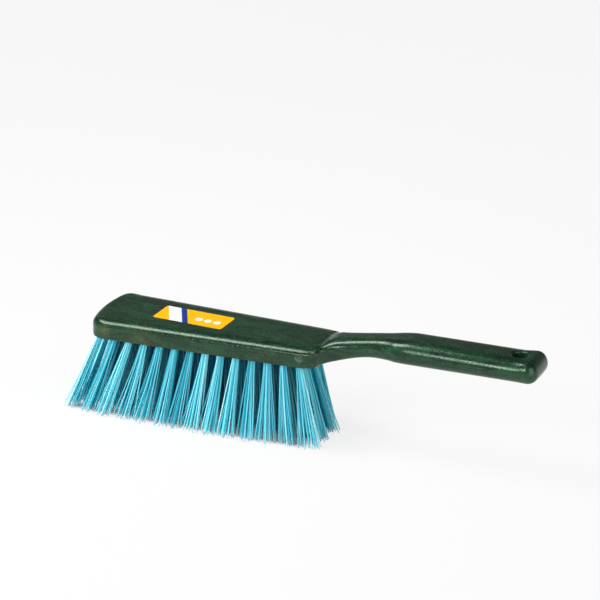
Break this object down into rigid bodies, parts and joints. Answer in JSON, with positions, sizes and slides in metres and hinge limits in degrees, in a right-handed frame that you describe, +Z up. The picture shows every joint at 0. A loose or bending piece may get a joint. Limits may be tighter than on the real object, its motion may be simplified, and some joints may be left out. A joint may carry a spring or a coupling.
{
  "type": "carpet brush",
  "caption": "Hand brush for carpets: a tapered block and raised handle in one dark green moulding, stiff pale blue bristle tufts in rows, a hanging hole and a plain coloured sticker.",
  "frame": {"origin": "on the plane of the bristle tips, under the middle of the whole brush", "axes": "+X from the toe of the block to the end of the handle, +Z up from the bristle tips to the back of the block, +Y across the block, to the left when looking along +X"},
  "size_m": [0.3418, 0.0662, 0.083],
  "materials": {
    "block_plastic": "satin, dark green with darker marbling",
    "bristle_filament": "stiff translucent pale blue filament with whiter tips",
    "anchor_wire": "flat galvanised wire",
    "sticker": "coated paper, yellow with white and blue shapes"
  },
  "bodies": {
    "root": {"anchor_back_inner_01": "anchor_wire", "anchor_back_inner_02": "anchor_wire", "anchor_back_inner_03": "anchor_wire", "anchor_back_inner_04": "anchor_wire", "anchor_back_inner_05": "anchor_wire", "anchor_back_inner_06": "anchor_wire", "anchor_back_inner_07": "anchor_wire", "anchor_back_inner_08": "anchor_wire", "anchor_back_inner_09": "anchor_wire", "anchor_back_inner_10": "anchor_wire", "anchor_back_inner_11": "anchor_wire", "anchor_back_inner_12": "anchor_wire", "anchor_back_inner_13": "anchor_wire", "anchor_back_inner_14": "anchor_wire", "anchor_back_outer_01": "anchor_wire", "anchor_back_outer_02": "anchor_wire", "anchor_back_outer_03": "anchor_wire", "anchor_back_outer_04": "anchor_wire", "anchor_back_outer_05": "anchor_wire", "anchor_back_outer_06": "anchor_wire", "anchor_back_outer_07": "anchor_wire", "anchor_back_outer_08": "anchor_wire", "anchor_back_outer_09": "anchor_wire", "anchor_back_outer_10": "anchor_wire", "anchor_back_outer_11": "anchor_wire", "anchor_back_outer_12": "anchor_wire", "anchor_back_outer_13": "anchor_wire", "anchor_back_outer_14": "anchor_wire", "anchor_front_inner_01": "anchor_wire", "anchor_front_inner_02": "anchor_wire", "anchor_front_inner_03": "anchor_wire", "anchor_front_inner_04": "anchor_wire", "anchor_front_inner_05": "anchor_wire", "anchor_front_inner_06": "anchor_wire", "anchor_front_inner_07": "anchor_wire", "anchor_front_inner_08": "anchor_wire", "anchor_front_inner_09": "anchor_wire", "anchor_front_inner_10": "anchor_wire", "anchor_front_inner_11": "anchor_wire", "anchor_front_inner_12": "anchor_wire", "anchor_front_inner_13": "anchor_wire", "anchor_front_inner_14": "anchor_wire", "anchor_front_outer_01": "anchor_wire", "anchor_front_outer_02": "anchor_wire", "anchor_front_outer_03": "anchor_wire", "anchor_front_outer_04": "anchor_wire", "anchor_front_outer_05": "anchor_wire", "anchor_front_outer_06": "anchor_wire", "anchor_front_outer_07": "anchor_wire", "anchor_front_outer_08": "anchor_wire", "anchor_front_outer_09": "anchor_wire", "anchor_front_outer_10": "anchor_wire", "anchor_front_outer_11": "anchor_wire", "anchor_front_outer_12": "anchor_wire", "anchor_front_outer_13": "anchor_wire", "anchor_front_outer_14": "anchor_wire", "block_and_handle": "block_plastic", "bristles_back": "bristle_filament", "bristles_front": "bristle_filament", "sticker": "sticker"}
  },
  "joints": []
}
